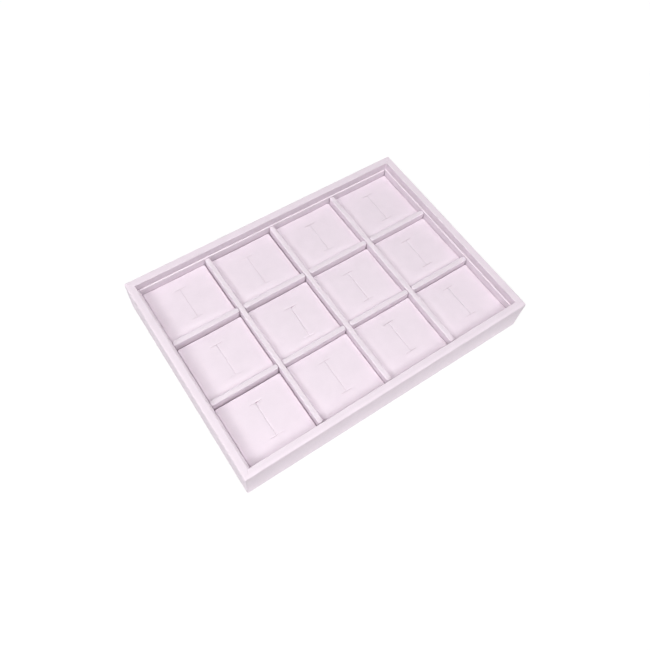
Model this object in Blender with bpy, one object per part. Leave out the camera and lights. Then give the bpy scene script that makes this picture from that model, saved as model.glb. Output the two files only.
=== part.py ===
"""Jewellery display tray with lift-out pads.

A mitred board frame and its base are wrapped in leatherette and lined round the inside.
Wrapped dividers split the tray into cells. In each cell lies a padded card: a board, a
foam block with an I-shaped slit, and a leatherette cover turned in under the board.

Units are metres and +Z is up. The origin is the middle of the underside, +X runs along
the long side and -Y is the front. Columns count from the left and rows from the front.
"""

import math

import bmesh
import bpy
from mathutils import Vector

# The whole tray
TRAY_LENGTH = 0.350
TRAY_WIDTH = 0.250
TRAY_HEIGHT = 0.045
COLUMNS = 4
ROWS = 3

# Leatherette, the glue under it, and the gap between pieces that meet
SKIN = 0.0006
GLUE_LINE = 0.0002
FIT_GAP = 0.0003

# Frame, base and their cover
RAIL_THICKNESS = 0.007
BASE_THICKNESS = 0.0042
LINING_THICKNESS = 0.0006
LINING_MARGIN = 0.002
CORNER_RADIUS = 0.0012
RIM_EDGE_RADIUS = 0.0012
FOOT_EDGE_RADIUS = 0.0008
RIM_INNER_CORNER_RADIUS = 0.0008
COVER_TURN_IN = 0.006

# Liners and dividers, whose tops are DIVIDER_DROP below the rim
DIVIDER_DROP = 0.0085
LINER_THICKNESS = 0.0022
LINER_EDGE_RADIUS = 0.0006
DIVIDER_THICKNESS = 0.006
DIVIDER_EDGE_RADIUS = 0.0015
DIVIDER_END_RADIUS = 0.002

# Pads, whose crowns are PAD_DROP below the rim
PAD_DROP = 0.015
PAD_CLEARANCE = 0.001
PAD_BOARD_THICKNESS = 0.002
PAD_EDGE_RADIUS = 0.0015
PAD_CORNER_RADIUS = 0.0015
PAD_DRAW_IN = 0.0004
PAD_CROWN = 0.0006
PAD_CROWN_INSET = 0.012
PAD_CROWN_CORNER_RADIUS = 0.008
PAD_TURN_IN = 0.008

# The slit in a pad: a stem along Y with a bar across each end
SLIT_LENGTH = 0.040
SLIT_BAR_LENGTH = 0.013
SLIT_WIDTH = 0.0004
CUTTER_OVERRUN = 0.002

# A radius inside a skin is never less than this share of the radius outside it
NESTED_RADIUS_SHARE = 0.2
WELD_DISTANCE = 1e-7
CORNER_STEPS = 3
EDGE_STEPS = 3
FOOT_STEPS = 2
CROWN_STEPS = 2
HIDDEN_STEPS = 1
SMOOTH_ANGLE = math.radians(35)

# Worked out from the sizes above
WRAP = SKIN + GLUE_LINE
RIM_WIDTH = RAIL_THICKNESS + 2 * WRAP
COVER_BOTTOM = LINING_THICKNESS + GLUE_LINE
FRAME_BOTTOM = COVER_BOTTOM + WRAP
BASE_TOP = COVER_BOTTOM + BASE_THICKNESS
INSIDE_BOTTOM = BASE_TOP + FIT_GAP
DIVIDER_TOP = TRAY_HEIGHT - DIVIDER_DROP
LINER_BACK = RIM_WIDTH + FIT_GAP
LINER_FACE = LINER_BACK + LINER_THICKNESS
CELL_LENGTH = (TRAY_LENGTH - 2 * LINER_FACE - (COLUMNS - 1) * DIVIDER_THICKNESS) / COLUMNS
CELL_WIDTH = (TRAY_WIDTH - 2 * LINER_FACE - (ROWS - 1) * DIVIDER_THICKNESS) / ROWS
PAD_HEIGHT = TRAY_HEIGHT - PAD_DROP - INSIDE_BOTTOM
PAD_HALF_LENGTH = CELL_LENGTH / 2 - PAD_CLEARANCE
PAD_HALF_WIDTH = CELL_WIDTH / 2 - PAD_CLEARANCE


def clear_scene():
    for obj in list(bpy.data.objects):
        bpy.data.objects.remove(obj, do_unlink=True)


def principled(name, colour, roughness):
    material = bpy.data.materials.new(name)
    material.use_nodes = True
    shader = material.node_tree.nodes["Principled BSDF"]
    shader.inputs["Base Color"].default_value = (*colour, 1)
    shader.inputs["Roughness"].default_value = roughness
    shader.inputs["Metallic"].default_value = 0
    material.diffuse_color = (*colour, 1)
    return material


def nested_radius(radius, depth):
    """Radius of a rounded edge as it is `depth` below the surface."""
    return max(radius - depth, radius * NESTED_RADIUS_SHARE)


def rectangle_ring(half_x, half_y, radius, z):
    """Points round a rectangle with rounded corners, all at the height z."""
    points = []
    for corner, (side_x, side_y) in enumerate(((1, 1), (-1, 1), (-1, -1), (1, -1))):
        centre = Vector((side_x * (half_x - radius), side_y * (half_y - radius), z))
        for step in range(CORNER_STEPS + 1):
            angle = math.pi / 2 * (corner + step / CORNER_STEPS)
            points.append(centre + radius * Vector((math.cos(angle), math.sin(angle), 0)))
    return points


def quarter_turn(steps):
    """(along, up) shares of a rounded edge, from its level end over to its upright end."""
    angles = [math.pi / 2 * step / steps for step in range(steps + 1)]
    return [(1 - math.sin(angle), math.cos(angle)) for angle in angles]


def loft(rings, closed=False):
    """A bmesh joining each ring to the next, capped at both ends or closed on itself."""
    bm = bmesh.new()
    loops = [[bm.verts.new(point) for point in ring] for ring in rings]
    bands = list(zip(loops, loops[1:]))
    if closed:
        bands.append((loops[-1], loops[0]))
    else:
        bm.faces.new(loops[0])
        bm.faces.new(loops[-1])
    for first, second in bands:
        for here in range(len(first)):
            after = (here + 1) % len(first)
            bm.faces.new((first[here], first[after], second[after], second[here]))
    bmesh.ops.remove_doubles(bm, verts=bm.verts, dist=WELD_DISTANCE)
    bmesh.ops.recalc_face_normals(bm, faces=bm.faces)
    return bm


def mesh_from(bm, name, material):
    mesh = bpy.data.meshes.new(name)
    bm.to_mesh(mesh)
    bm.free()
    mesh.materials.append(material)
    mesh.shade_smooth()
    mesh.set_sharp_from_angle(angle=SMOOTH_ANGLE)
    return mesh


def place(name, mesh, location=(0, 0, 0), parent=None):
    obj = bpy.data.objects.new(name, mesh)
    obj.location = location
    obj.parent = parent
    bpy.context.scene.collection.objects.link(obj)
    return obj


def strip_mesh(name, length, width, height, end_radius, edge_radius, material):
    """An upright strip on its own foot, with round ends in plan and a rounded top edge."""
    half_x, half_y = length / 2, width / 2
    end_radius = min(end_radius, half_x, half_y)
    edge_radius = min(edge_radius, half_x, half_y)
    rings = [rectangle_ring(half_x, half_y, end_radius, 0)]
    for along, up in reversed(quarter_turn(EDGE_STEPS)):
        inset = along * edge_radius
        radius = nested_radius(end_radius, inset)
        z = height - (1 - up) * edge_radius
        rings.append(rectangle_ring(half_x - inset, half_y - inset, radius, z))
    return mesh_from(loft(rings), name, material)


def tray_ring(depth, radius, z):
    """Ring that runs round the tray at `depth` in from its outer faces."""
    return rectangle_ring(TRAY_LENGTH / 2 - depth, TRAY_WIDTH / 2 - depth, radius, z)


def wrapped_outside(below, inner_depth, hole_corner):
    """Rings up the frame's outer side and over to the rim's inner edge, `below` its surface.

    `hole_corner` is the corner radius of the inner side, which lies at `inner_depth`.
    """
    rim_radius = nested_radius(RIM_EDGE_RADIUS, below)
    foot_radius = nested_radius(FOOT_EDGE_RADIUS, below)
    corner = nested_radius(CORNER_RADIUS, below)
    bottom, top = COVER_BOTTOM + below, TRAY_HEIGHT - below
    rings = []
    for along, up in quarter_turn(FOOT_STEPS):
        inset = along * foot_radius
        z = bottom + (1 - up) * foot_radius
        rings.append(tray_ring(below + inset, nested_radius(corner, inset), z))
    for along, up in reversed(quarter_turn(EDGE_STEPS)):
        inset = along * rim_radius
        z = top - (1 - up) * rim_radius
        rings.append(tray_ring(below + inset, nested_radius(corner, inset), z))
    for along, up in quarter_turn(EDGE_STEPS):
        inset = along * rim_radius
        z = top - (1 - up) * rim_radius
        rings.append(tray_ring(inner_depth - inset, hole_corner + inset, z))
    return rings


def make_rail(name, side, material):
    """One side of the frame, sawn at 45 degrees at both ends.

    `side` points out of the tray through the rail: (0, -1) is the front.
    """
    depth = RIM_WIDTH - WRAP
    rings = wrapped_outside(WRAP, depth, 0)
    rings.append(tray_ring(depth, 0, FRAME_BOTTOM))
    bm = loft(rings, closed=True)
    out = Vector((*side, 0))
    for turn in (1, -1):
        along = Vector((-out.y, out.x, 0)) * turn
        corner = Vector((TRAY_LENGTH / 2, TRAY_WIDTH / 2, 0)) * (along + out)
        saw = (along - out).normalized()
        bmesh.ops.bisect_plane(
            bm,
            geom=bm.verts[:] + bm.edges[:] + bm.faces[:],
            dist=WELD_DISTANCE,
            plane_co=corner - saw * FIT_GAP / 2,
            plane_no=saw,
            clear_outer=True,
        )
        open_edges = [edge for edge in bm.edges if edge.is_boundary]
        bmesh.ops.holes_fill(bm, edges=open_edges, sides=0)
    bmesh.ops.recalc_face_normals(bm, faces=bm.faces)
    return place(name, mesh_from(bm, name, material))


def make_frame():
    material = principled("frame_board", (0.45, 0.33, 0.22), 0.8)
    sides = {"front": (0, -1), "back": (0, 1), "left": (-1, 0), "right": (1, 0)}
    for word, side in sides.items():
        make_rail(f"{word}_rail", side, material)


def make_base():
    """The floor board, let in between the rails."""
    depth = RIM_WIDTH - WRAP + FIT_GAP
    rings = [tray_ring(depth, 0, COVER_BOTTOM), tray_ring(depth, 0, BASE_TOP)]
    material = principled("base_board", (0.42, 0.31, 0.21), 0.8)
    place("base_board", mesh_from(loft(rings), "base_board", material))


def make_lining():
    """The cloth that hides the turned-in leatherette, and on which the tray stands."""
    rings = [tray_ring(LINING_MARGIN, CORNER_RADIUS, z) for z in (0, LINING_THICKNESS)]
    material = principled("bottom_lining", (0.62, 0.55, 0.6), 0.95)
    place("bottom_lining", mesh_from(loft(rings), "bottom_lining", material))


def make_tray_cover():
    """The leatherette over the frame, turned in under its foot and behind the liners."""
    face = (RIM_WIDTH, RIM_INNER_CORNER_RADIUS)
    back = (RIM_WIDTH - SKIN, RIM_INNER_CORNER_RADIUS + SKIN)
    rings = [tray_ring(COVER_TURN_IN, CORNER_RADIUS, COVER_BOTTOM)]
    rings += wrapped_outside(0, *face)
    rings += [tray_ring(*face, INSIDE_BOTTOM), tray_ring(*back, INSIDE_BOTTOM)]
    rings += reversed(wrapped_outside(SKIN, *back))
    rings.append(tray_ring(COVER_TURN_IN, CORNER_RADIUS, COVER_BOTTOM + SKIN))
    material = principled("tray_leatherette", (0.87, 0.78, 0.84), 0.55)
    mesh = mesh_from(loft(rings, closed=True), "tray_cover", material)
    place("tray_cover", mesh)


def make_liners():
    """Wrapped strips round the inside: the side ones run through, the others butt on them."""
    material = principled("liner_leatherette", (0.86, 0.77, 0.83), 0.55)
    height = DIVIDER_TOP - INSIDE_BOTTOM
    centre_x = TRAY_LENGTH / 2 - LINER_BACK - LINER_THICKNESS / 2
    centre_y = TRAY_WIDTH / 2 - LINER_BACK - LINER_THICKNESS / 2
    side_length = TRAY_WIDTH - 2 * LINER_BACK
    end_length = TRAY_LENGTH - 2 * (LINER_FACE + FIT_GAP)
    shape = (height, RIM_INNER_CORNER_RADIUS, LINER_EDGE_RADIUS, material)
    side_mesh = strip_mesh("side_liner", LINER_THICKNESS, side_length, *shape)
    end_mesh = strip_mesh("end_liner", end_length, LINER_THICKNESS, *shape)
    place("left_liner", side_mesh, (-centre_x, 0, INSIDE_BOTTOM))
    place("right_liner", side_mesh, (centre_x, 0, INSIDE_BOTTOM))
    place("front_liner", end_mesh, (0, -centre_y, INSIDE_BOTTOM))
    place("back_liner", end_mesh, (0, centre_y, INSIDE_BOTTOM))


def cell_centre(column, row):
    x = (column - (COLUMNS + 1) / 2) * (CELL_LENGTH + DIVIDER_THICKNESS)
    y = (row - (ROWS + 1) / 2) * (CELL_WIDTH + DIVIDER_THICKNESS)
    return x, y


def make_dividers():
    """Long dividers run from front to back, and short ones stand between them."""
    material = principled("divider_leatherette", (0.86, 0.77, 0.83), 0.55)
    shape = (DIVIDER_TOP - INSIDE_BOTTOM, DIVIDER_END_RADIUS, DIVIDER_EDGE_RADIUS, material)
    long_length = TRAY_WIDTH - 2 * (LINER_FACE + FIT_GAP)
    short_length = CELL_LENGTH - 2 * FIT_GAP
    long_mesh = strip_mesh("long_divider", DIVIDER_THICKNESS, long_length, *shape)
    short_mesh = strip_mesh("short_divider", short_length, DIVIDER_THICKNESS, *shape)
    to_divider_x = (CELL_LENGTH + DIVIDER_THICKNESS) / 2
    to_divider_y = (CELL_WIDTH + DIVIDER_THICKNESS) / 2
    for column in range(1, COLUMNS):
        x = cell_centre(column, 1)[0] + to_divider_x
        place(f"long_divider_{column}", long_mesh, (x, 0, INSIDE_BOTTOM))
    for row in range(1, ROWS):
        for column in range(1, COLUMNS + 1):
            x, y = cell_centre(column, row)
            name = f"short_divider_r{row}_c{column}"
            place(name, short_mesh, (x, y + to_divider_y, INSIDE_BOTTOM))


def pad_ring(inset, radius, z):
    return rectangle_ring(PAD_HALF_LENGTH - inset, PAD_HALF_WIDTH - inset, radius, z)


def pad_outside(below, bottom, crown_steps, edge_steps):
    """Rings of a pad's cushion shape, `below` its surface, from its crown to `bottom`.

    The sides are fullest half way up and drawn in above and below.
    """
    edge_radius = nested_radius(PAD_EDGE_RADIUS, below)
    corner = nested_radius(PAD_CORNER_RADIUS, below)
    edge_inset = below + PAD_DRAW_IN
    shoulder = PAD_HEIGHT - PAD_CROWN - below
    rings = []
    for step in range(crown_steps, 0, -1):
        share = step / crown_steps
        start = edge_inset + edge_radius
        inset = start + share * (PAD_CROWN_INSET - start)
        radius = corner + share * (PAD_CROWN_CORNER_RADIUS - corner)
        z = shoulder + PAD_CROWN * math.sin(share * math.pi / 2)
        rings.append(pad_ring(inset, radius, z))
    for along, up in quarter_turn(edge_steps):
        inset = edge_inset + along * edge_radius
        radius = nested_radius(corner, along * edge_radius)
        rings.append(pad_ring(inset, radius, shoulder - (1 - up) * edge_radius))
    rings.append(pad_ring(below, corner, PAD_HEIGHT / 2))
    rings.append(pad_ring(edge_inset, corner, bottom))
    return rings


def slit_cutter():
    """A thin I-shaped prism, as tall as a pad."""
    half_stem, half_bar, half_length = SLIT_WIDTH / 2, SLIT_BAR_LENGTH / 2, SLIT_LENGTH / 2
    bar_inside = half_length - SLIT_WIDTH
    quarter = [
        (half_stem, bar_inside),
        (half_bar, bar_inside),
        (half_bar, half_length),
    ]
    right = [(x, -y) for x, y in reversed(quarter)] + quarter
    outline = right + [(-x, y) for x, y in reversed(right)]
    heights = (-CUTTER_OVERRUN, PAD_HEIGHT + CUTTER_OVERRUN)
    bm = loft([[Vector((x, y, z)) for x, y in outline] for z in heights])
    mesh = bpy.data.meshes.new("slit_cutter")
    bm.to_mesh(mesh)
    bm.free()
    cutter = place("slit_cutter", mesh)
    cutter.hide_render = True
    cutter.display_type = "WIRE"
    return cutter


def slit_mesh(bm, name, cutter, material):
    """The mesh of one pad layer with the slit cut through it."""
    whole = place(name, mesh_from(bm, f"{name}_whole", material))
    cut = whole.modifiers.new("slit", "BOOLEAN")
    cut.operation = "DIFFERENCE"
    cut.solver = "EXACT"
    cut.object = cutter
    graph = bpy.context.evaluated_depsgraph_get()
    mesh = bpy.data.meshes.new_from_object(whole.evaluated_get(graph))
    mesh.name = name
    bpy.data.objects.remove(whole, do_unlink=True)
    return mesh


def pad_cover_mesh(cutter):
    """The leatherette of a pad, open below inside its turned-in edge."""
    outside = pad_outside(0, 0, CROWN_STEPS, EDGE_STEPS)
    turn_in = [pad_ring(PAD_TURN_IN, PAD_CORNER_RADIUS, z) for z in (0, SKIN)]
    inside = pad_outside(SKIN, SKIN, HIDDEN_STEPS, HIDDEN_STEPS)
    material = principled("pad_leatherette", (0.88, 0.79, 0.85), 0.6)
    bm = loft(outside + turn_in + inside[::-1])
    return slit_mesh(bm, "pad_cover", cutter, material)


def pad_foam_mesh(cutter):
    bottom = WRAP + PAD_BOARD_THICKNESS + GLUE_LINE
    rings = pad_outside(WRAP, bottom, HIDDEN_STEPS, HIDDEN_STEPS)
    material = principled("pad_foam", (0.9, 0.88, 0.82), 0.95)
    return slit_mesh(loft(rings), "pad_foam", cutter, material)


def pad_board_mesh():
    inset = WRAP + PAD_DRAW_IN
    corner = nested_radius(PAD_CORNER_RADIUS, WRAP)
    heights = (WRAP, WRAP + PAD_BOARD_THICKNESS)
    rings = [pad_ring(inset, corner, z) for z in heights]
    material = principled("pad_board", (0.5, 0.47, 0.42), 0.9)
    return mesh_from(loft(rings), "pad_board", material)


def make_pads():
    """Every pad lifts straight out, so its pieces hang on an empty at the foot of its axis."""
    cutter = slit_cutter()
    layers = {
        "cover": pad_cover_mesh(cutter),
        "foam": pad_foam_mesh(cutter),
        "board": pad_board_mesh(),
    }
    bpy.data.objects.remove(cutter, do_unlink=True)
    for row in range(1, ROWS + 1):
        for column in range(1, COLUMNS + 1):
            name = f"pad_r{row}_c{column}"
            axis = place(f"{name}_axis", None, (*cell_centre(column, row), INSIDE_BOTTOM))
            for layer, mesh in layers.items():
                place(f"{name}_{layer}", mesh, parent=axis)


def main():
    clear_scene()
    make_frame()
    make_base()
    make_lining()
    make_tray_cover()
    make_liners()
    make_dividers()
    make_pads()


main()
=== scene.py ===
import math
from collections import namedtuple

import bmesh
import bpy
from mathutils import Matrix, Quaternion, Vector


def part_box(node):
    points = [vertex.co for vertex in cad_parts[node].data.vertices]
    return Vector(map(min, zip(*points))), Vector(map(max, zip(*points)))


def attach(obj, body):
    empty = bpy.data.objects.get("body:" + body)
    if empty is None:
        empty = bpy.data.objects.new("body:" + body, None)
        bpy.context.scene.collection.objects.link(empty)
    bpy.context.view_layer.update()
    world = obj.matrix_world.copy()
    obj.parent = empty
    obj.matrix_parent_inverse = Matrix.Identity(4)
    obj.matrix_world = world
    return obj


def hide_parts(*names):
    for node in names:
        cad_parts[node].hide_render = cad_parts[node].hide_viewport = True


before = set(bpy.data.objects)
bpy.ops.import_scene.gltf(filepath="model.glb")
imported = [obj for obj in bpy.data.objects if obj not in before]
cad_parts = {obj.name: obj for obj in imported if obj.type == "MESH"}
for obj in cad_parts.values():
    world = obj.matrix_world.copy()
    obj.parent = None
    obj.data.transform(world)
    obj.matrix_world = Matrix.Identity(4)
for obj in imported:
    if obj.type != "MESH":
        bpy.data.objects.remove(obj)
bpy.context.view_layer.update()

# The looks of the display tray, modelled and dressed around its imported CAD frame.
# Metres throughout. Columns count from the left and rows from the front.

MM = 0.001

# The tray as the CAD has it
TRAY_LOW, TRAY_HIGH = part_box("tray_cover")
BASE_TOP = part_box("base_board")[1].z
INSIDE_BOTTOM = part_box("left_liner")[0].z
PAD_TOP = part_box("pad_r1_c1_cover")[1].z
RIM_WIDTH = 8.6 * MM
COLUMNS = (1, 2, 3, 4)
ROWS = (1, 2, 3)

# How near two places count as one, and how near a cut joins a point
SLACK = 0.02 * MM
FINE_SLACK = 0.01 * MM
CUT_SLACK = 0.001 * MM

# How far a face's normal points up on a top and down on an underside
FACING_UP = 0.8
FACING_DOWN = -0.9
SMOOTH_ANGLE = math.radians(40)

# The tray's leatherette. Here and below, a rounding is written as its radius and steps.
SKIN = 0.6 * MM
TURN_IN = 6 * MM
CORNER_RADIUS = 1.5 * MM
TRAY_CORNER = (CORNER_RADIUS, 6)
TRAY_FOOT = (0.8 * MM, 3)
RIM_INNER_EDGE = (0.7 * MM, 4)

# The folded seams across the rim's corners
SEAM_HALF_WIDTH = 0.2 * MM
SEAM_DEPTH = 0.25 * MM
SEAM_SLACK = 0.3 * MM

# Strips
LINER_EDGE = (0.5 * MM, 4)
BACK_LINER_SHORT = 0.7 * MM
DIVIDER_EDGE = (1.3 * MM, 5)
DIVIDER_END = (2.2 * MM, 5)

# The thin card on the base board, and how far it stays from what is round, below and over it
FLOOR_CARD_GAP = 0.2 * MM
FLOOR_CARD_LIFT = 0.02 * MM
FLOOR_CARD_CLEAR = 0.03 * MM
FLOOR_CARD_CORNER = (1 * MM, 3)
FLOOR_CARD_EDGE = (0.08 * MM, 2)

# The cloth under the tray
CLOTH_CORNER = (1.2 * MM, 4)
CLOTH_EDGE = (0.25 * MM, 2)

# A pad's skin before it is padded out
PAD_SPARE = 0.25 * MM
PAD_EDGE_RADIUS = 2.2 * MM
PAD_EDGE = (PAD_EDGE_RADIUS, 4)
PAD_FOOT = (PAD_EDGE_RADIUS / 2, 2)
PAD_GRID = 4.0 * MM
PAD_TURN_IN = 8 * MM
FOLD_HALF_WIDTH = 0.35 * MM
FOLD_DEPTH = 0.3 * MM

# How it is padded out: its swelling upwards and sideways, and how soon it levels off
PAD_SWELL = 0.8 * MM
PAD_SIDE_SWELL = 0.2 * MM
PAD_FIRMNESS = 3.0
PAD_HELD_BELOW = 3 * MM
PAD_PRESSURE = 4
PAD_RUN = 20
LEAST_SWELL = 0.1 * MM

# What is under a pad's leatherette: the skin with its glue, then foam on a card
WRAP = 0.8 * MM
CARD_THICKNESS = 2 * MM
CARD_CORNER = (0.8 * MM, 3)
CARD_EDGE = (0.1 * MM, 1)

# The I-shaped slit in a pad
SLIT_LENGTH = 40 * MM
SLIT_BAR = 13 * MM
SLIT_GAP = 0.16 * MM
LIP_REACH = 1.1 * MM
LIP_ROLL = LIP_REACH / 3
CORNER_EDGE = LIP_REACH * 1.2
CORNER_REACH = 4 * MM
FOAM_SLIT_DEPTH = 12 * MM
NEAR_TOP = 4 * MM

# How a pad lies in its cell: shift to the right, shift to the back (mm), turn (degrees)
PadLie = namedtuple("PadLie", ("right", "back", "turn"))
PAD_LIE = {
    (1, 1): PadLie(0.12, -0.50, 0.00),
    (1, 2): PadLie(0.49, 0.49, 0.00),
    (1, 3): PadLie(0.41, 0.41, -0.12),
    (1, 4): PadLie(0.46, 0.30, 0.08),
    (2, 1): PadLie(0.20, -0.50, 0.00),
    (2, 2): PadLie(0.05, -0.48, 0.05),
    (2, 3): PadLie(0.48, 0.02, 0.00),
    (2, 4): PadLie(0.46, 0.47, 0.00),
    (3, 1): PadLie(0.05, 0.46, 0.00),
    (3, 2): PadLie(-0.33, -0.34, 0.32),
    (3, 3): PadLie(0.30, 0.40, 0.20),
    (3, 4): PadLie(0.46, 0.47, 0.00),
}

# How a slit lies in its pad: its middle to the right and to the back (mm), its slant (degrees),
# how deep its lips are pressed in, how deep the right lip's back corner is, and how wide the
# back and the front bar stand open (mm)
SlitLie = namedtuple(
    "SlitLie", ("right", "back", "slant", "lips", "corner", "back_gap", "front_gap")
)
SLIT_LIE = {
    (1, 1): SlitLie(-0.2, -0.4, 0.0, 0.42, 1.4, 0.20, 0.12),
    (1, 2): SlitLie(-0.7, -0.5, 0.0, 0.22, 0.0, 0.22, 0.18),
    (1, 3): SlitLie(-0.7, 0.3, 0.6, 0.26, 0.0, 0.34, 0.18),
    (1, 4): SlitLie(-1.3, 0.4, 0.0, 0.18, 0.0, 0.30, 0.17),
    (2, 1): SlitLie(-0.7, -1.5, 0.0, 0.24, 0.0, 0.27, 0.08),
    (2, 2): SlitLie(4.1, -4.6, -2.4, 0.48, 1.2, 0.24, 0.08),
    (2, 3): SlitLie(-1.2, -1.7, 0.3, 0.30, 0.3, 0.22, 0.24),
    (2, 4): SlitLie(-1.6, -1.2, 0.0, 0.16, 0.0, 0.40, 0.38),
    (3, 1): SlitLie(-0.9, -1.1, 0.3, 0.06, 0.0, 0.22, 0.20),
    (3, 2): SlitLie(-1.2, -2.0, 0.0, 0.21, 0.0, 0.22, 0.18),
    (3, 3): SlitLie(-0.5, -1.7, -0.8, 0.14, 0.0, 0.38, 0.18),
    (3, 4): SlitLie(-1.2, -1.6, 0.0, 0.16, 0.0, 0.32, 0.30),
}

# Colours
TRAY_COLOUR = (0.825, 0.728, 0.801)
STRIP_COLOUR = (0.815, 0.728, 0.794)
LINING_COLOUR = (0.62, 0.55, 0.6)
FOAM_COLOUR = (0.74, 0.56, 0.66)
FIBRE_COLOURS = ((0.36, 0.26, 0.17), (0.52, 0.39, 0.27))
CARD_COLOURS = ((0.42, 0.39, 0.35), (0.58, 0.55, 0.5))

# The leatherette's grain: pebbles about 0.7 mm across, a fine nap on them, and slight clouds
PEBBLE_SCALE = 1400
PEBBLE_GROOVE = 0.16
PEBBLE_DEPTH = 0.05 * MM
NAP_SCALE = 5200
NAP_DEPTH = 0.02 * MM
CLOUD_SCALE = 70
CLOUD_RANGE = (0.3, 0.7)
CLOUD_TONES = (0.36, 0.6)
DARKEST, LIGHTEST = 0.93, 1.08
GROOVE_TONE = -0.2
# Lighter tone on rounded edges: partly stretched skin, partly painted highlight
FOLD_STRETCH_AND_HIGHLIGHT_TONE = 0.5
# How much lighter the painted highlight along the rim's outer edge makes the leatherette
RIM_HIGHLIGHT_TONE = 0.5
GROOVE_ROUGHNESS, PEBBLE_ROUGHNESS = 0.55, 0.42
FOLD_SMOOTHING = -0.06

# How squarely the leatherette faces along an axis where a fold starts, and where it is full
FOLD_RANGE = (0.99, 0.85)

# A painted highlight: a paler band along the rim's outer edge, strongest at the front and weaker
# along the left
RIM_HIGHLIGHT_FULL = 1.8 * MM
RIM_HIGHLIGHT_REACH = 4.2 * MM
RIM_HIGHLIGHT_LEFT = 0.35
RIM_HIGHLIGHT_UPWARDS = (0.5, 0.85)

# The inner materials' grain
FIBRE_SCALE = 900
FIBRE_DEPTH = 0.1 * MM
FOAM_CELL_SCALE = 1400
FOAM_CELL_DEPTH = 0.2 * MM
FOAM_DARKEST = 0.75
THREAD_SCALE = 620
THREAD_DEPTH = 0.1 * MM
THREAD_DARKEST = 0.8

# Camera
CAMERA_PLACE = Vector((-0.22603, -0.27495, 0.61723))
CAMERA_AIM = Vector((-0.00710, -0.01047, 0))
CAMERA_ROLL = math.radians(6.338)
CAMERA_LENS = 35
CAMERA_SENSOR = 36

# The floor: it glows less near the tray, where the lamps light it, and is white far off
FLOOR_SIZE = 8
FLOOR_DROP = 0.1 * MM
FLOOR_COLOUR = (0.86, 0.84, 0.855)
FLOOR_SHADOW = 0.2
FLOOR_GLOW = 0.86
FLOOR_NEAR = 0.5
FLOOR_FAR = 1.6

# Lamps: name, azimuth from the front to the right, elevation, distance, width, height, power
LAMPS = (
    ("left_softbox", -90, 48, 1.3, 0.65, 0.65, 2.6),
    ("left_far_softbox", -90, 42, 1.8, 0.7, 0.7, 8.3),
    ("overhead_softbox", 0, 89.9, 1.3, 1.15, 1.15, 7.65),
    ("front_softbox", 0, 55, 1.8, 0.9, 0.9, 12.5),
    ("back_fill", 140, 10, 1.3, 0.65, 0.65, 2.3),
    ("front_strip", 0, 1.98, 0.147, 0.36, 0.008, 0.0115),
)


# Selecting and shaping

def take_up(*pieces):
    """Leaves only these pieces selected, the first one active."""
    bpy.ops.object.select_all(action="DESELECT")
    for piece in pieces:
        piece.select_set(True)
    bpy.context.view_layer.objects.active = pieces[0]


def start_block(name, low, high):
    """A block at its size and place, with its origin at the scene's origin."""
    bpy.ops.object.select_all(action="DESELECT")
    low, high = Vector(low), Vector(high)
    bpy.ops.mesh.primitive_cube_add(size=1, location=(low + high) / 2, scale=high - low)
    piece = bpy.context.object
    piece.name = piece.data.name = name
    settle(piece)
    return piece


def settle(piece):
    """Puts a piece's place, turn and size into its mesh."""
    take_up(piece)
    bpy.ops.object.transform_apply(location=True, rotation=True, scale=True)


def copy_of(piece, name):
    """A second piece with its own mesh."""
    take_up(piece)
    bpy.ops.object.duplicate(linked=False)
    copy = bpy.context.object
    copy.name = copy.data.name = name
    return copy


def edit(piece):
    take_up(piece)
    bpy.ops.object.mode_set(mode="EDIT")


def done():
    bpy.ops.object.mode_set(mode="OBJECT")


def same(a, b, slack=SLACK):
    return abs(a - b) < slack


def upright(a, b):
    """Whether an edge runs up."""
    return not same(a.z, b.z)


def at_height(height, slack=SLACK):
    """A rule that passes edges at this height."""
    return lambda a, b: same(a.z, height, slack) and same(b.z, height, slack)


def pick(kind, passes):
    """Selects the faces or edges in view that pass."""
    bpy.ops.mesh.select_mode(type=kind)
    bpy.ops.mesh.select_all(action="DESELECT")
    mesh = bmesh.from_edit_mesh(bpy.context.object.data)
    for item in mesh.faces if kind == "FACE" else mesh.edges:
        if not item.hide:
            item.select_set(passes(item))
    mesh.select_flush_mode()
    bmesh.update_edit_mesh(bpy.context.object.data)


def pick_faces(rule):
    """Selects the faces whose middle and normal pass the rule."""
    pick("FACE", lambda face: rule(face.calc_center_median(), face.normal))


def pick_edges(rule):
    """Selects the edges whose two ends pass the rule."""
    pick("EDGE", lambda edge: rule(edge.verts[0].co, edge.verts[1].co))


def pick_open_edges(rule):
    """Selects the edges of holes whose two ends pass the rule."""
    pick("EDGE", lambda edge: edge.is_boundary and rule(edge.verts[0].co, edge.verts[1].co))


def push(value):
    """Draws out what is selected."""
    bpy.ops.mesh.extrude_region_move(TRANSFORM_OT_translate={"value": value})


def round_edges(radius, steps):
    bpy.ops.mesh.bevel(offset=radius, offset_type="OFFSET", segments=steps, affect="EDGES")


def cut(place, normal, **ways):
    """Cuts what is selected by a plane."""
    bpy.ops.mesh.bisect(plane_co=place, plane_no=normal, threshold=CUT_SLACK, **ways)


def cut_across(axis, places, rule=None):
    """Cuts new edges through the faces at these places along an axis."""
    normal = Vector()
    normal[axis] = 1
    for place in places:
        if rule is None:
            bpy.ops.mesh.select_all(action="SELECT")
        else:
            pick_faces(rule)
        cut(normal * place, normal)


def apply_modifier(piece, kind, **values):
    take_up(piece)
    modifier = piece.modifiers.new(kind.title(), kind)
    for key, value in values.items():
        setattr(modifier, key, value)
    bpy.ops.object.modifier_apply(modifier=modifier.name)


def give_skin(piece):
    """Turns a sheet into leatherette of its real thickness, inwards from its face."""
    apply_modifier(piece, "SOLIDIFY", thickness=SKIN, offset=-1, use_quality_normals=True)


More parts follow.
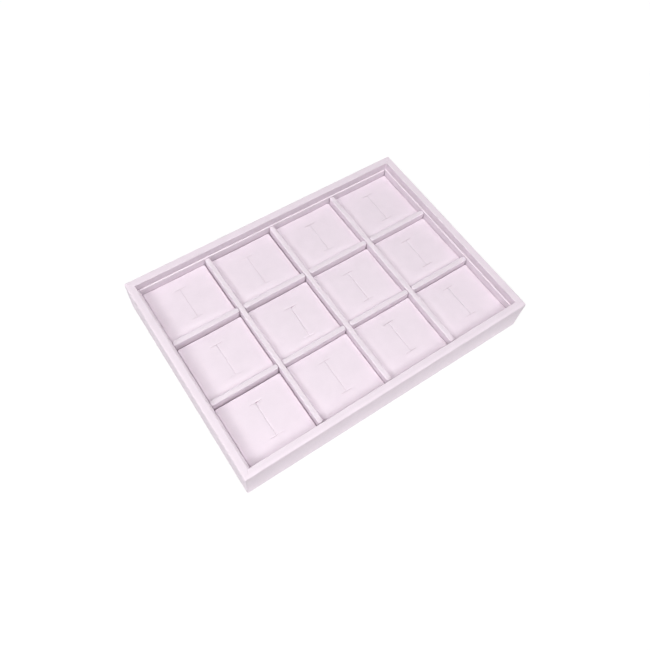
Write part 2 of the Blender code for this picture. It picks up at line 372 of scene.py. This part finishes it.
def shade(piece):
    """Smooth over the rounded edges, and flat on the flats between them."""
    take_up(piece)
    bpy.ops.object.shade_smooth_by_angle(angle=SMOOTH_ANGLE)
    apply_modifier(piece, "WEIGHTED_NORMAL", mode="FACE_AREA", weight=50, keep_sharp=True)


def finish_piece(piece, body, slot, material, *nodes):
    """Dresses a finished piece and sets it in place of its CAD nodes, if it has any."""
    piece.data.materials.clear()
    piece.data.materials.append(material)
    shade(piece)
    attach(piece, body)
    if nodes:
        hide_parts(*nodes)


# Materials

def add(tree, kind, **inputs):
    """A new node with these inputs set."""
    node = tree.nodes.new(kind)
    set_inputs(node, **inputs)
    return node


def set_inputs(node, **inputs):
    for key, value in inputs.items():
        node.inputs[key.replace("_", " ")].default_value = value


def new_material(name, **inputs):
    material = bpy.data.materials.new(name)
    material.use_nodes = True
    tree = material.node_tree
    shader = tree.nodes["Principled BSDF"]
    set_inputs(shader, **inputs)
    return material, tree, shader


def object_place(tree):
    """Where a point is on the piece."""
    return tree.nodes.new("ShaderNodeTexCoord").outputs["Object"]


def facing(tree):
    """Which way the surface faces."""
    return tree.nodes.new("ShaderNodeNewGeometry").outputs["Normal"]


def axes_of(tree, vector):
    """The X, Y and Z of a vector."""
    parts = tree.nodes.new("ShaderNodeSeparateXYZ")
    tree.links.new(vector, parts.inputs[0])
    return parts.outputs


def pattern(tree, kind, **inputs):
    """A texture that lies still on the piece."""
    node = add(tree, kind, **inputs)
    tree.links.new(object_place(tree), node.inputs["Vector"])
    return node


def math_node(tree, operation, first, second=None):
    """A sum on one value or two."""
    node = tree.nodes.new("ShaderNodeMath")
    node.operation = operation
    tree.links.new(first, node.inputs[0])
    if second is not None:
        tree.links.new(second, node.inputs[1])
    return node.outputs[0]


def fitted(tree, value, low, high, first, last):
    """Turns a value's range from low to high into one from first to last."""
    node = add(
        tree, "ShaderNodeMapRange", From_Min=low, From_Max=high, To_Min=first, To_Max=last
    )
    tree.links.new(value, node.inputs["Value"])
    return node.outputs["Result"]


def two_tone(tree, share, dark, light):
    """A colour from dark to light by a share from 0 to 1."""
    ramp = tree.nodes.new("ShaderNodeValToRGB")
    ramp.color_ramp.elements[0].color = (*dark, 1)
    ramp.color_ramp.elements[1].color = (*light, 1)
    tree.links.new(share, ramp.inputs["Fac"])
    return ramp.outputs["Color"]


def scaled(colour, share):
    return tuple(channel * share for channel in colour)


def raised(tree, height, depth, strength, below=None):
    """The normal of a surface raised by a height from 0 to 1, on top of another if given."""
    node = add(tree, "ShaderNodeBump", Strength=strength, Distance=depth)
    tree.links.new(height, node.inputs["Height"])
    if below is not None:
        tree.links.new(below, node.inputs["Normal"])
    return node.outputs["Normal"]


def dress(tree, shader, **sockets):
    """Links a material's colour, normal or roughness to its shader."""
    for key, value in sockets.items():
        tree.links.new(value, shader.inputs[key.replace("_", " ")])


def folds(tree):
    """1 where the leatherette is drawn round an edge, 0 where it lies flat."""
    sides = [math_node(tree, "ABSOLUTE", side) for side in axes_of(tree, facing(tree))]
    most = math_node(tree, "MAXIMUM", math_node(tree, "MAXIMUM", sides[0], sides[1]), sides[2])
    return fitted(tree, most, *FOLD_RANGE, 0, 1)


def painted_rim_highlight(tree):
    """Up to 1 on top of the rim, along the front edge and less along the left one: where a
    highlight is painted on the tray."""
    place = axes_of(tree, object_place(tree))
    front = fitted(tree, place["Y"], *rim_highlight_band(TRAY_LOW.y), 1, 0)
    left = fitted(tree, place["X"], *rim_highlight_band(TRAY_LOW.x), RIM_HIGHLIGHT_LEFT, 0)
    upwards = fitted(tree, axes_of(tree, facing(tree))["Z"], *RIM_HIGHLIGHT_UPWARDS, 0, 1)
    return math_node(tree, "MULTIPLY", math_node(tree, "MAXIMUM", front, left), upwards)


def rim_highlight_band(edge):
    return edge + RIM_HIGHLIGHT_FULL, edge + RIM_HIGHLIGHT_REACH


def leatherette(name, colour, rim_highlight=False):
    """Pale matt leatherette: small pebbles with grooves round them, a fine nap, slight
    cloudiness, and a smoother skin where it is drawn round an edge, lighter there partly from
    stretching and partly as a painted highlight. When asked, it also has a painted highlight
    along the rim's outer edge."""
    material, tree, shader = new_material(name, Specular_IOR_Level=0.4)
    cells = pattern(tree, "ShaderNodeTexVoronoi", Scale=PEBBLE_SCALE, Randomness=0.9)
    cells.feature = "DISTANCE_TO_EDGE"
    pebbles = fitted(tree, cells.outputs["Distance"], 0, PEBBLE_GROOVE, 0, 1)
    nap = pattern(tree, "ShaderNodeTexNoise", Scale=NAP_SCALE, Detail=2.0, Roughness=0.6)
    fold = folds(tree)
    tone = math_node(tree, "ADD", clouds(tree), fitted(tree, pebbles, 0, 1, GROOVE_TONE, 0))
    # The lighter tone on rounded edges is partly stretched skin and partly painted highlight
    tone = math_node(tree, "ADD", tone, fitted(tree, fold, 0, 1, 0, FOLD_STRETCH_AND_HIGHLIGHT_TONE))
    # Painted highlight along the rim's outer edge
    if rim_highlight:
        tone = math_node(tree, "ADD", tone, fitted(tree, painted_rim_highlight(tree), 0, 1, 0, RIM_HIGHLIGHT_TONE))
    grain = fitted(tree, pebbles, 0, 1, GROOVE_ROUGHNESS, PEBBLE_ROUGHNESS)
    coarse = raised(tree, pebbles, PEBBLE_DEPTH, 0.5)
    dress(
        tree, shader,
        Base_Color=two_tone(tree, tone, scaled(colour, DARKEST), scaled(colour, LIGHTEST)),
        Roughness=math_node(tree, "ADD", grain, fitted(tree, fold, 0, 1, 0, FOLD_SMOOTHING)),
        Normal=raised(tree, nap.outputs["Fac"], NAP_DEPTH, 0.4, coarse),
    )
    return material


def clouds(tree):
    """The slow change of tone over a sheet of leatherette."""
    noise = pattern(tree, "ShaderNodeTexNoise", Scale=CLOUD_SCALE, Detail=3.0, Roughness=0.55)
    return fitted(tree, noise.outputs["Fac"], *CLOUD_RANGE, *CLOUD_TONES)


def board(name, dark, light):
    """Pressed fibre board: long fibres over fine specks."""
    material, tree, shader = new_material(name, Roughness=0.85)
    noise = pattern(tree, "ShaderNodeTexNoise", Scale=FIBRE_SCALE, Detail=6.0, Roughness=0.7)
    fibres = noise.outputs["Fac"]
    dress(
        tree, shader, Base_Color=two_tone(tree, fibres, dark, light),
        Normal=raised(tree, fibres, FIBRE_DEPTH, 0.4),
    )
    return material


def foam(name, colour):
    """Cut foam: small open cells."""
    material, tree, shader = new_material(name, Roughness=0.95)
    bubbles = pattern(tree, "ShaderNodeTexVoronoi", Scale=FOAM_CELL_SCALE, Randomness=1.0)
    cells = bubbles.outputs["Distance"]
    dress(
        tree, shader, Base_Color=two_tone(tree, cells, scaled(colour, FOAM_DARKEST), colour),
        Normal=raised(tree, cells, FOAM_CELL_DEPTH, 0.7),
    )
    return material


def woven(name, colour):
    """Plain lining cloth: threads over and under one another."""
    material, tree, shader = new_material(name, Roughness=0.9)
    warp = pattern(tree, "ShaderNodeTexWave", Scale=THREAD_SCALE, Distortion=0.6)
    weft = pattern(tree, "ShaderNodeTexWave", Scale=THREAD_SCALE, Distortion=0.6)
    weft.bands_direction = "Y"
    weave = math_node(tree, "MULTIPLY", warp.outputs["Fac"], weft.outputs["Fac"])
    dress(
        tree, shader, Base_Color=two_tone(tree, weave, scaled(colour, THREAD_DARKEST), colour),
        Normal=raised(tree, weave, THREAD_DEPTH, 0.5),
    )
    return material


# The tray

def make_tray_wrap(material):
    """The leatherette over the frame: outside, rim and inner face, turned in below."""
    on_foot = at_height(TRAY_LOW.z)
    piece = start_block("tray_wrap", TRAY_LOW, TRAY_HIGH)
    edit(piece)
    pick_edges(lambda a, b: not on_foot(a, b))
    round_edges(*TRAY_CORNER)
    pick_edges(on_foot)
    round_edges(*TRAY_FOOT)
    pick_faces(lambda middle, normal: same(middle.z, TRAY_HIGH.z))
    bpy.ops.mesh.inset(thickness=RIM_WIDTH - CORNER_RADIUS)
    push((0, 0, INSIDE_BOTTOM - TRAY_HIGH.z))
    bpy.ops.mesh.delete(type="FACE")
    pick_edges(at_rim_inside)
    round_edges(*RIM_INNER_EDGE)
    open_underside()
    press_seams()
    done()
    give_skin(piece)
    finish_piece(piece, "tray", "tray_leatherette", material, "tray_cover")


def at_rim_inside(a, b):
    """An edge round the rim's hole, or down one of its corners."""
    inner = TRAY_HIGH - Vector((RIM_WIDTH, RIM_WIDTH, 0))
    at_corners = all(same(abs(p.x), inner.x) and same(abs(p.y), inner.y) for p in (a, b))
    return at_corners and (same(a.z, inner.z) or same(b.z, inner.z))


def open_underside():
    """Opens the underside inside the turned-in edge."""
    edge_x, edge_y = TRAY_HIGH.x - TURN_IN, TRAY_HIGH.y - TURN_IN

    def underneath(middle, normal):
        return same(middle.z, TRAY_LOW.z)

    cut_across(0, (-edge_x, edge_x), underneath)
    cut_across(1, (-edge_y, edge_y), underneath)
    pick_faces(
        lambda middle, normal: underneath(middle, normal)
        and abs(middle.x) < edge_x and abs(middle.y) < edge_y
    )
    bpy.ops.mesh.delete(type="FACE")


def press_seams():
    """Presses a fine seam along the folded diagonal across each rim corner."""
    pick_edges(on_diagonal)
    round_edges(SEAM_HALF_WIDTH, 2)
    pick("EDGE", lambda edge: on_diagonal(edge.verts[0].co, edge.verts[1].co) and is_middle(edge))
    bpy.ops.transform.translate(value=(0, 0, -SEAM_DEPTH))


def on_diagonal(a, b):
    """An edge from the rim's hole to its outer corner."""
    on_top = same(a.z, TRAY_HIGH.z) and same(b.z, TRAY_HIGH.z)
    slanted = same(abs(a.x - b.x), abs(a.y - b.y), SEAM_SLACK)
    return on_top and slanted and (a - b).length > RIM_WIDTH / 2


def is_middle(edge):
    """An edge between two of a seam's narrow faces."""
    most = 4 * SEAM_HALF_WIDTH * edge.calc_length()
    return all(face.calc_area() < most for face in edge.link_faces)


def make_strip(name, low, high, top_edge, ends=None):
    """A wrapped strip on edge: its top is rounded along it and its ends in plan."""
    piece = start_block(name, low, high)
    edit(piece)
    if ends:
        pick_edges(upright)
        round_edges(*ends)
    pick_edges(at_height(high.z))
    round_edges(*top_edge)
    done()
    return piece


def make_liners(material):
    for side in ("left", "right", "front", "back"):
        node = f"{side}_liner"
        low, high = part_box(node)
        if side == "back":
            high.x -= BACK_LINER_SHORT
        piece = make_strip(f"{side}_wrapped_liner", low, high, LINER_EDGE)
        finish_piece(piece, "tray", "liner_leatherette", material, node)


def make_floor_card(material):
    """Thin card under leatherette, on the base board: the floor that a lifted pad shows."""
    inset = RIM_WIDTH + FLOOR_CARD_GAP
    low = TRAY_LOW + Vector((inset, inset, 0))
    high = TRAY_HIGH - Vector((inset, inset, 0))
    low.z = BASE_TOP + FLOOR_CARD_LIFT
    high.z = INSIDE_BOTTOM - FLOOR_CARD_CLEAR
    piece = start_block("floor_card", low, high)
    edit(piece)
    pick_edges(upright)
    round_edges(*FLOOR_CARD_CORNER)
    pick_edges(at_height(high.z, FINE_SLACK))
    round_edges(*FLOOR_CARD_EDGE)
    done()
    finish_piece(piece, "tray", "tray_leatherette", material)


def make_dividers(material):
    nodes = [f"long_divider_{column}" for column in COLUMNS[:-1]]
    nodes += [f"short_divider_r{row}_c{column}" for row in ROWS[:-1] for column in COLUMNS]
    for node in nodes:
        low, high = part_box(node)
        piece = make_strip(f"{node}_wrapped", low, high, DIVIDER_EDGE, DIVIDER_END)
        finish_piece(piece, "tray", "divider_leatherette", material, node)


def make_bottom_cloth(material):
    low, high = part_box("bottom_lining")
    piece = start_block("bottom_cloth", low, high)
    edit(piece)
    pick_edges(upright)
    round_edges(*CLOTH_CORNER)
    pick_edges(at_height(low.z))
    round_edges(*CLOTH_EDGE)
    done()
    finish_piece(piece, "tray", "bottom_lining", material, "bottom_lining")


# The pads, made once with their middle over the origin

def pad_box(row, column):
    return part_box(f"pad_r{row}_c{column}_cover")


def pad_size():
    """The lowest and highest corner of a pad, a little wider than its CAD node."""
    low, high = pad_box(1, 1)
    half = (high - low) / 2
    return (
        Vector((-half.x - PAD_SPARE, -half.y - PAD_SPARE, low.z)),
        Vector((half.x + PAD_SPARE, half.y + PAD_SPARE, high.z)),
    )


def make_skin():
    """A closed pad shape, cut into a grid and padded out by a short cloth run."""
    low, high = pad_size()
    high.z -= PAD_SWELL
    piece = start_block("pad_skin", low, high)
    edit(piece)
    pick_edges(upright)
    round_edges(*PAD_EDGE)
    pick_edges(at_height(high.z))
    round_edges(*PAD_EDGE)
    pick_edges(at_height(low.z))
    round_edges(*PAD_FOOT)
    for axis in range(3):
        start, end = low[axis] + PAD_EDGE_RADIUS, high[axis] - PAD_EDGE_RADIUS
        cut_across(axis, [start, *spaced(start, end, PAD_GRID), end])
    bpy.ops.mesh.select_all(action="SELECT")
    bpy.ops.mesh.remove_doubles(threshold=FINE_SLACK)
    done()
    pad_out(piece, low)
    apply_modifier(piece, "SUBSURF", levels=1, render_levels=1)
    return piece


def spaced(low, high, step):
    """Evenly spaced places between two ends, about a step apart, without the ends."""
    count = max(1, round((high - low) / step))
    return [low + (high - low) * n / count for n in range(1, count)]


def pad_out(piece, low):
    """Swells the skin over its foam: cloth under pressure, held round its foot."""
    points = piece.data.vertices
    rest = [point.co.copy() for point in points]
    held = piece.vertex_groups.new(name="held")
    held.add([n for n, co in enumerate(rest) if co.z < low.z + PAD_HELD_BELOW], 1, "REPLACE")
    run_cloth(piece)
    moves = [point.co - co for point, co in zip(points, rest)]
    most = max(LEAST_SWELL, *(move.z for move in moves))
    for point, co, move in zip(points, rest, moves):
        if move.length > 0:
            share = math.tanh(PAD_FIRMNESS * move.length / most) / math.tanh(PAD_FIRMNESS)
            way = move.normalized() * share
            swell = (way.x * PAD_SIDE_SWELL, way.y * PAD_SIDE_SWELL, way.z * PAD_SWELL)
            point.co = co + Vector(swell)


def run_cloth(piece):
    """Blows the skin up for a moment, and keeps the shape."""
    take_up(piece)
    cloth = piece.modifiers.new("padding", "CLOTH")
    cloth.settings.use_pressure = True
    cloth.settings.uniform_pressure_force = PAD_PRESSURE
    cloth.settings.effector_weights.gravity = 0
    cloth.settings.vertex_group_mass = "held"
    cloth.point_cache.frame_end = PAD_RUN
    for number in range(1, PAD_RUN + 1):
        bpy.context.scene.frame_set(number)
    bpy.ops.object.modifier_apply(modifier=cloth.name)
    bpy.context.scene.frame_set(1)


def slit_ways(lie):
    """The ways across a slit and along it."""
    turn = math.radians(lie.slant)
    across = Vector((math.cos(turn), math.sin(turn), 0))
    along = Vector((-math.sin(turn), math.cos(turn), 0))
    return across, along


def slit_middle(lie):
    return Vector((lie.right * MM, lie.back * MM, 0))


def seen_from_slit(point, lie):
    """How far a point is across the slit and along it, from the slit's middle."""
    across, along = slit_ways(lie)
    way = point - slit_middle(lie)
    return way.dot(across), way.dot(along)


def bar_gap(lie, side):
    """How wide the bar at the back (side over 0) or at the front stands open."""
    return (lie.back_gap if side > 0 else lie.front_gap) * MM


def near_slit(middle, normal, lie):
    """A face of the pad's top that the slit or its lips may reach."""
    across, along = seen_from_slit(middle, lie)
    return (
        normal.z > FACING_UP and abs(across) < SLIT_BAR / 2 + PAD_GRID
        and abs(along) < SLIT_LENGTH / 2 + PAD_GRID
    )


def in_slit(middle, normal, lie):
    """A face that the open slit takes away."""
    across, along = seen_from_slit(middle, lie)
    if normal.z < FACING_UP or abs(along) > SLIT_LENGTH / 2:
        return False
    on_bar = abs(along) > SLIT_LENGTH / 2 - bar_gap(lie, along) and abs(across) < SLIT_BAR / 2
    return on_bar or abs(across) < SLIT_GAP / 2


def cut_beside_slit(lie, normal, places):
    """Cuts lines square to a way at these places, counted from the slit's middle."""
    for place in places:
        bpy.ops.mesh.select_all(action="SELECT")
        cut(slit_middle(lie) + normal * place, normal)


def cut_slit(piece, lie):
    """Cuts the I-shaped slit in a pad's top, with lines beside it for its lips."""
    across, along = slit_ways(lie)
    end = SLIT_LENGTH / 2
    edit(piece)
    pick_faces(lambda middle, normal: near_slit(middle, normal, lie))
    bpy.ops.mesh.hide(unselected=True)
    for side in (-1, 1):
        inner = end - bar_gap(lie, side)
        beside = (SLIT_GAP / 2, LIP_ROLL, LIP_REACH, SLIT_BAR / 2)
        before = (
            end, inner, end + LIP_ROLL, inner - LIP_ROLL, end + LIP_REACH, inner - LIP_REACH
        )
        cut_beside_slit(lie, across, [side * place for place in beside])
        cut_beside_slit(lie, along, [side * place for place in before])
    pick_faces(lambda middle, normal: in_slit(middle, normal, lie))
    bpy.ops.mesh.delete(type="FACE")
    done()


def near_top(a, b):
    """An edge high up on a pad: of the open edges, only the slit's are."""
    return min(a.z, b.z) > PAD_TOP - NEAR_TOP


def press_lips(piece, lie):
    """Presses the slit's lips in a little, and a corner of the right one further."""
    edit(piece)
    pick_open_edges(near_top)
    bpy.ops.transform.translate(
        value=(0, 0, -lie.lips * MM), use_proportional_edit=True,
        proportional_edit_falloff="SHARP", proportional_size=LIP_REACH,
    )
    if lie.corner:
        pick_open_edges(
            lambda a, b: near_top(a, b) and at_back_corner(a, lie) and at_back_corner(b, lie)
        )
        bpy.ops.transform.translate(
            value=(0, 0, -lie.corner * MM),
            use_proportional_edit=True, use_proportional_connected=True,
            proportional_edit_falloff="SMOOTH", proportional_size=CORNER_REACH,
        )
    bpy.ops.mesh.reveal()
    done()


def at_back_corner(point, lie):
    """A place at the corner of the right lip, where the slit meets its back bar."""
    across, along = seen_from_slit(point, lie)
    inner = SLIT_LENGTH / 2 - bar_gap(lie, 1)
    return (
        SLIT_GAP / 2 - SLACK < across < CORNER_EDGE
        and SLIT_LENGTH / 2 - CORNER_EDGE < along < inner + SLACK
    )


def make_cover(skin):
    """The leatherette, open below inside its turned-in edge."""
    high = pad_size()[1]
    piece = copy_of(skin, "pad_leatherette")
    edit(piece)
    pick_faces(
        lambda middle, normal: normal.z < FACING_DOWN
        and abs(middle.x) < high.x - PAD_TURN_IN and abs(middle.y) < high.y - PAD_TURN_IN
    )
    bpy.ops.mesh.delete(type="FACE")
    fold_corners()
    done()
    return piece


def fold_corners():
    """Presses a crease where the turned-in leatherette is folded over at each corner."""
    low, high = pad_size()
    for right in (-1, 1):
        for back in (-1, 1):
            corner = Vector((right * high.x, back * high.y, low.z))
            fold_corner(corner, Vector((-back, right, 0)).normalized())


def fold_corner(corner, normal):
    """Presses one crease from a corner inwards, in the plane with this normal."""
    reach = 2 * PAD_TURN_IN

    def beside_fold(middle, facing):
        way = middle - corner
        return facing.z < FACING_DOWN and abs(way.x) < reach and abs(way.y) < reach

    def on_fold(point):
        return same((point - corner).dot(normal), 0, FINE_SLACK) and same(point.z, corner.z)

    pick_faces(beside_fold)
    bpy.ops.mesh.hide(unselected=True)
    for aside in (-FOLD_HALF_WIDTH, FOLD_HALF_WIDTH, 0):
        bpy.ops.mesh.select_all(action="SELECT")
        cut(corner + normal * aside, normal)
    pick_edges(lambda a, b: on_fold(a) and on_fold(b))
    bpy.ops.transform.translate(value=(0, 0, FOLD_DEPTH))
    bpy.ops.mesh.reveal()


def make_foam(skin):
    """The foam under the leatherette, on its card."""
    low, high = pad_size()
    piece = copy_of(skin, "pad_foam")
    edit(piece)
    bpy.ops.mesh.select_all(action="SELECT")
    share = Vector((1 - WRAP / high.x, 1 - WRAP / high.y, 1 - WRAP / (high.z - low.z)))
    bpy.ops.transform.resize(value=share, center_override=(0, 0, low.z))
    card_top = Vector((0, 0, low.z + WRAP + CARD_THICKNESS))
    cut(card_top, (0, 0, 1), clear_inner=True, use_fill=True)
    done()
    return piece


def sink_slit(piece):
    """Gives the foam's slit its walls and bottom."""
    edit(piece)
    pick_open_edges(near_top)
    bpy.ops.mesh.extrude_edges_move(TRANSFORM_OT_translate={"value": (0, 0, -FOAM_SLIT_DEPTH)})
    bpy.ops.mesh.fill()
    done()


def make_card():
    """The stiff card under the foam."""
    low, high = pad_size()
    inset = Vector((WRAP + PAD_SIDE_SWELL, WRAP + PAD_SIDE_SWELL, 0))
    card_low = low + inset + Vector((0, 0, WRAP))
    card_high = Vector((high.x, high.y, low.z + WRAP + CARD_THICKNESS)) - inset
    piece = start_block("pad_card", card_low, card_high)
    edit(piece)
    pick_edges(upright)
    round_edges(*CARD_CORNER)
    pick_edges(lambda a, b: not upright(a, b))
    round_edges(*CARD_EDGE)
    done()
    return piece


def lay_in_cell(piece, row, column):
    """Puts a pad's layer where that pad lies in its cell."""
    low, high = pad_box(row, column)
    middle = (low + high) / 2
    lie = PAD_LIE[row, column]
    piece.rotation_euler.z = math.radians(lie.turn)
    piece.location = (middle.x + lie.right * MM, middle.y + lie.back * MM, 0)
    settle(piece)


def make_pads(leather, foam_material, card_material):
    skin = make_skin()
    cover, foam_block, card = make_cover(skin), make_foam(skin), make_card()
    for row in ROWS:
        for column in COLUMNS:
            pad, lie = f"pad_r{row}_c{column}", SLIT_LIE[row, column]
            top = copy_of(cover, f"{pad}_leatherette")
            cut_slit(top, lie)
            press_lips(top, lie)
            give_skin(top)
            filling = copy_of(foam_block, f"{pad}_foam_block")
            cut_slit(filling, lie)
            press_lips(filling, lie)
            sink_slit(filling)
            stiffener = copy_of(card, f"{pad}_card")
            for piece in (top, filling, stiffener):
                lay_in_cell(piece, row, column)
            finish_piece(top, pad, "pad_leatherette", leather, f"{pad}_cover")
            finish_piece(filling, pad, "pad_foam", foam_material, f"{pad}_foam")
            finish_piece(stiffener, pad, "pad_board", card_material, f"{pad}_board")
    for master in (skin, cover, foam_block, card):
        bpy.data.objects.remove(master, do_unlink=True)


def dress_boards():
    """Gives the CAD's own boards, inside the tray, their material."""
    fibre = board("fibre_board", *FIBRE_COLOURS)
    for node in ("front_rail", "back_rail", "left_rail", "right_rail", "base_board"):
        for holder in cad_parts[node].material_slots:
            holder.material = fibre


# Camera, floor and light

def make_camera():
    data = bpy.data.cameras.new("camera")
    data.lens = CAMERA_LENS
    data.sensor_width = CAMERA_SENSOR
    camera = bpy.data.objects.new("camera", data)
    bpy.context.scene.collection.objects.link(camera)
    look = (CAMERA_AIM - CAMERA_PLACE).to_track_quat("-Z", "Y")
    camera.location = CAMERA_PLACE
    camera.rotation_mode = "QUATERNION"
    camera.rotation_quaternion = look @ Quaternion((0, 0, 1), CAMERA_ROLL)
    bpy.context.scene.camera = camera


def seen_rays(tree):
    """1 for rays from the camera, or by way of a mirror or glass, else 0."""
    path = tree.nodes.new("ShaderNodeLightPath").outputs
    mirrored = math_node(tree, "MAXIMUM", path["Is Camera Ray"], path["Is Glossy Ray"])
    return math_node(tree, "MAXIMUM", mirrored, path["Is Transmission Ray"])


def white_far_off(tree):
    """The floor's glow at each place."""
    reach = tree.nodes.new("ShaderNodeVectorMath")
    reach.operation = "LENGTH"
    tree.links.new(object_place(tree), reach.inputs[0])
    return fitted(tree, reach.outputs["Value"], FLOOR_NEAR, FLOOR_FAR, FLOOR_GLOW, 1)


def make_floor():
    """A pale floor that lights the tray's sides, and shows white but for a soft shadow."""
    bpy.ops.object.select_all(action="DESELECT")
    bpy.ops.mesh.primitive_plane_add(size=FLOOR_SIZE, location=(0, 0, -FLOOR_DROP))
    floor = bpy.context.object
    floor.name = "floor"
    material = bpy.data.materials.new("floor")
    material.use_nodes = True
    tree = material.node_tree
    tree.nodes.clear()
    paint = add(tree, "ShaderNodeBsdfDiffuse", Color=(*FLOOR_COLOUR, 1))
    shown = add(tree, "ShaderNodeBsdfDiffuse", Color=(*[FLOOR_SHADOW] * 3, 1))
    glow = tree.nodes.new("ShaderNodeEmission")
    both = tree.nodes.new("ShaderNodeAddShader")
    mix = tree.nodes.new("ShaderNodeMixShader")
    out = tree.nodes.new("ShaderNodeOutputMaterial")
    tree.links.new(white_far_off(tree), glow.inputs["Strength"])
    tree.links.new(shown.outputs[0], both.inputs[0])
    tree.links.new(glow.outputs[0], both.inputs[1])
    tree.links.new(seen_rays(tree), mix.inputs["Fac"])
    tree.links.new(paint.outputs[0], mix.inputs[1])
    tree.links.new(both.outputs[0], mix.inputs[2])
    tree.links.new(mix.outputs[0], out.inputs["Surface"])
    floor.data.materials.append(material)


def make_world():
    """White where it is seen, and no light on the tray."""
    world = bpy.data.worlds.new("studio")
    bpy.context.scene.world = world
    world.use_nodes = True
    tree = world.node_tree
    tree.nodes.clear()
    white = add(tree, "ShaderNodeBackground", Color=(1, 1, 1, 1))
    out = tree.nodes.new("ShaderNodeOutputWorld")
    tree.links.new(seen_rays(tree), white.inputs["Strength"])
    tree.links.new(white.outputs[0], out.inputs["Surface"])


def make_lamps():
    for name, azimuth, elevation, distance, width, height, power in LAMPS:
        data = bpy.data.lights.new(name, "AREA")
        data.shape = "ELLIPSE" if width == height else "RECTANGLE"
        data.size = width
        data.size_y = height
        data.energy = power
        lamp = bpy.data.objects.new(name, data)
        lamp.visible_camera = False
        bpy.context.scene.collection.objects.link(lamp)
        turn, rise = math.radians(azimuth), math.radians(elevation)
        flat = math.cos(rise)
        out = Vector((math.sin(turn) * flat, -math.cos(turn) * flat, math.sin(rise)))
        lamp.location = out * distance
        lamp.rotation_euler = (-out).to_track_quat("-Z", "Y").to_euler()


def main():
    make_camera()
    make_floor()
    make_world()
    make_lamps()
    # The tray's leatherette carries the painted highlight along the rim's outer edge
    tray_skin = leatherette("tray_leatherette", TRAY_COLOUR, rim_highlight=True)
    make_tray_wrap(tray_skin)
    make_floor_card(tray_skin)
    make_liners(leatherette("liner_leatherette", STRIP_COLOUR))
    make_dividers(leatherette("divider_leatherette", STRIP_COLOUR))
    make_bottom_cloth(woven("bottom_cloth", LINING_COLOUR))
    make_pads(
        leatherette("pad_leatherette", TRAY_COLOUR),
        foam("pad_foam", FOAM_COLOUR),
        board("grey_card", *CARD_COLOURS),
    )
    dress_boards()
    bpy.context.scene.view_settings.view_transform = "Standard"


main()
